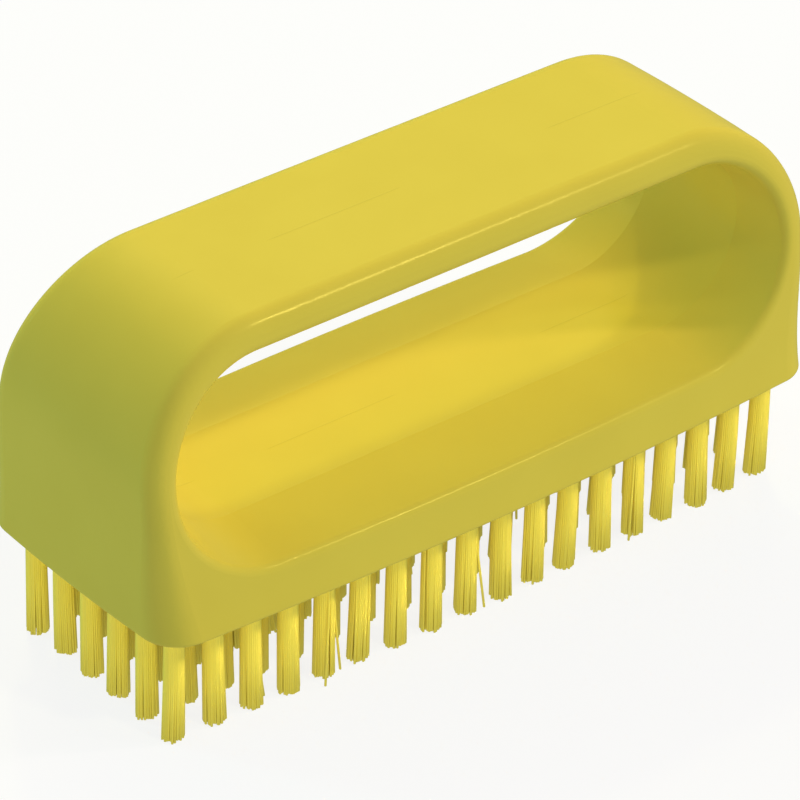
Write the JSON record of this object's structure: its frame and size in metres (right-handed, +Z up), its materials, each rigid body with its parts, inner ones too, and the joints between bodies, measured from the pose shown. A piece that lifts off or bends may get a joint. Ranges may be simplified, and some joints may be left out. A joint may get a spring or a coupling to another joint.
{
  "type": "nail brush",
  "caption": "Hand-held nail brush: one moulded plastic block with a loop handle and bowed sides, over a field of stiff round tufts held by wire anchors.",
  "frame": {"origin": "under the middle of the brush, on the plane of the tuft tips", "axes": "+X along the brush, +Y across it, +Z up from the tuft tips to the handle"},
  "size_m": [0.1194, 0.0469, 0.0619],
  "materials": {
    "block_plastic": "satin",
    "bristle_nylon": "satin",
    "anchor_steel": "drawn"
  },
  "bodies": {
    "root": {"brush_block": "block_plastic", "tuft_row_01": "bristle_nylon", "tuft_row_02": "bristle_nylon", "tuft_row_03": "bristle_nylon", "tuft_row_04": "bristle_nylon", "tuft_row_05": "bristle_nylon", "tuft_row_06": "bristle_nylon", "tuft_row_07": "bristle_nylon", "tuft_row_08": "bristle_nylon", "tuft_row_09": "bristle_nylon", "tuft_row_10": "bristle_nylon", "tuft_row_11": "bristle_nylon", "tuft_row_12": "bristle_nylon", "tuft_row_13": "bristle_nylon", "tuft_row_14": "bristle_nylon", "tuft_row_15": "bristle_nylon", "tuft_row_16": "bristle_nylon", "tuft_row_17": "bristle_nylon", "tuft_row_18": "bristle_nylon", "anchor_row_01": "anchor_steel", "anchor_row_02": "anchor_steel", "anchor_row_03": "anchor_steel", "anchor_row_04": "anchor_steel", "anchor_row_05": "anchor_steel", "anchor_row_06": "anchor_steel", "anchor_row_07": "anchor_steel", "anchor_row_08": "anchor_steel", "anchor_row_09": "anchor_steel", "anchor_row_10": "anchor_steel", "anchor_row_11": "anchor_steel", "anchor_row_12": "anchor_steel", "anchor_row_13": "anchor_steel", "anchor_row_14": "anchor_steel", "anchor_row_15": "anchor_steel", "anchor_row_16": "anchor_steel", "anchor_row_17": "anchor_steel", "anchor_row_18": "anchor_steel"}
  },
  "joints": []
}
